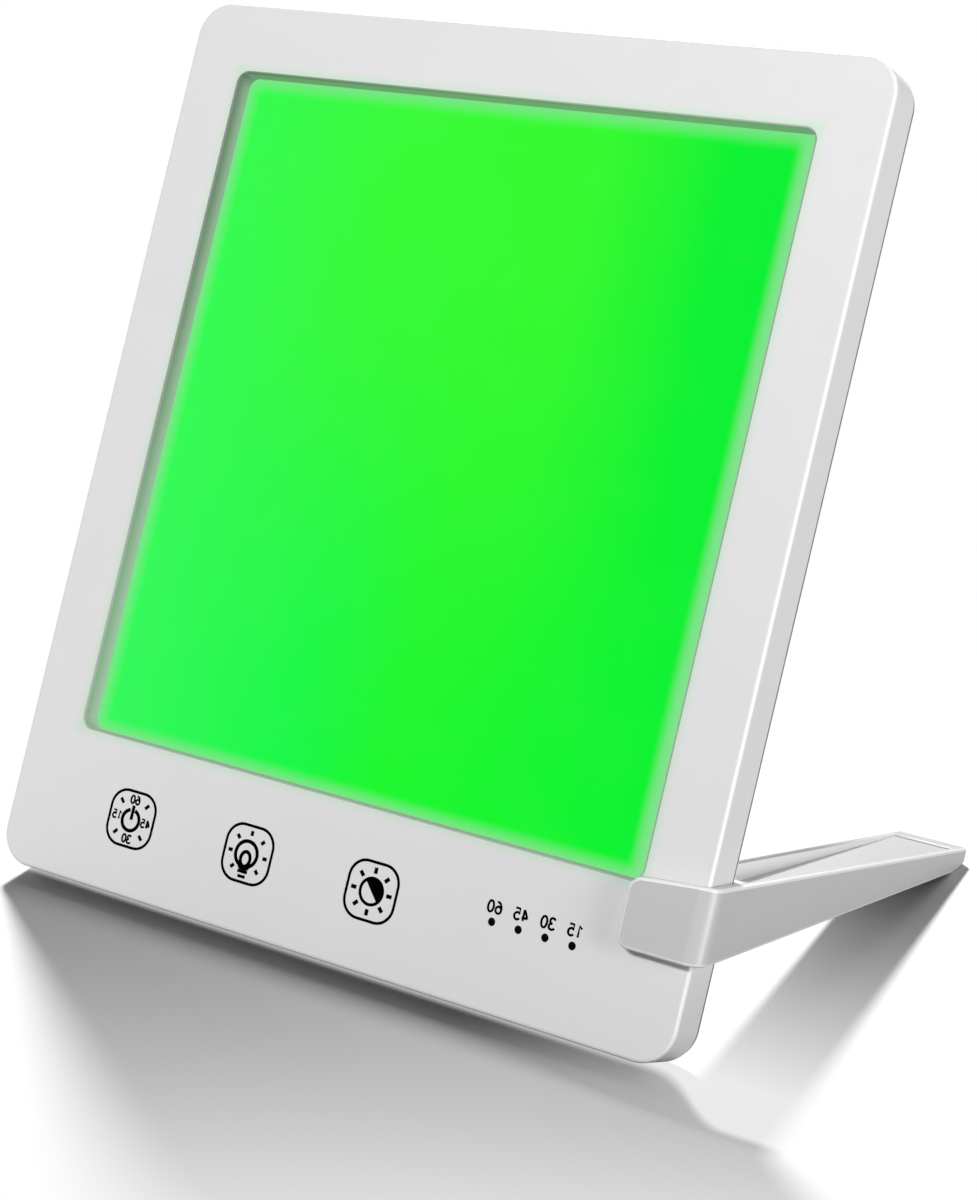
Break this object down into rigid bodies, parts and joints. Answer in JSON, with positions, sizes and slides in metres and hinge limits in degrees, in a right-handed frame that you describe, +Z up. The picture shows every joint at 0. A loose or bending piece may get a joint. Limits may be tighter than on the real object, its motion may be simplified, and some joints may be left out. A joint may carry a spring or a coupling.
{
  "type": "light therapy lamp",
  "caption": "Slim tablet light therapy lamp: a recessed lit window in a white panel with touch signs and timer lights, leaning back on a clip-on stand.",
  "frame": {"origin": "on the floor, under the middle of the whole lamp's box", "axes": "+X across the panel to the stand's side, +Y from the window to the back, +Z up"},
  "size_m": [0.1994, 0.1724, 0.2199],
  "materials": {
    "white_plastic": "fine satin white moulded plastic",
    "lit_diffuser": "opal sheet lit green from behind",
    "clear_acrylic": "clear acrylic",
    "white_film": "white reflecting film",
    "aluminium": "rolled sheet",
    "strip_white": "white solder resist",
    "board_green": "green solder resist",
    "black_epoxy": "moulded black",
    "ferrite": "sintered grey-black",
    "grey_foam": "conductive foam",
    "smoked_lens": "smoked, nearly black",
    "lamp_white": "white lamp body",
    "steel": "zinc plated",
    "plug_cream": "natural nylon",
    "lead_black": "insulated wire"
  },
  "bodies": {
    "panel": {"back_tray": "aluminium", "board_screw_1": "steel", "board_screw_2": "steel", "board_screw_3": "steel", "boost_inductor": "ferrite", "cover_screw_1": "steel", "cover_screw_2": "steel", "cover_screw_3": "steel", "cover_screw_4": "steel", "cover_screw_5": "steel", "cover_screw_6": "steel", "diffuser_panel": "lit_diffuser", "driver_chip": "black_epoxy", "filter_capacitor_1": "aluminium", "filter_capacitor_2": "aluminium", "front_bezel": "white_plastic", "light_guide_plate": "clear_acrylic", "light_strip_left": "strip_white", "light_strip_right": "strip_white", "main_board": "board_green", "power_socket": "steel", "rear_cover": "white_plastic", "reflector_sheet": "white_film", "strip_lead_left": "lead_black", "strip_lead_right": "lead_black", "strip_plug_left": "plug_cream", "strip_plug_right": "plug_cream", "timer_lamp_1": "lamp_white", "timer_lamp_2": "lamp_white", "timer_lamp_3": "lamp_white", "timer_lamp_4": "lamp_white", "timer_lens_1": "smoked_lens", "timer_lens_2": "smoked_lens", "timer_lens_3": "smoked_lens", "timer_lens_4": "smoked_lens", "touch_chip": "black_epoxy", "touch_pad_brightness": "grey_foam", "touch_pad_colour": "grey_foam", "touch_pad_power": "grey_foam"},
    "stand": {"stand_bracket": "white_plastic"}
  },
  "joints": [
    {"name": "stand_pull_off", "type": "slide", "parent": "panel", "child": "stand", "axis": [1, 0, 0], "range_m": [0, 0.03]}
  ]
}
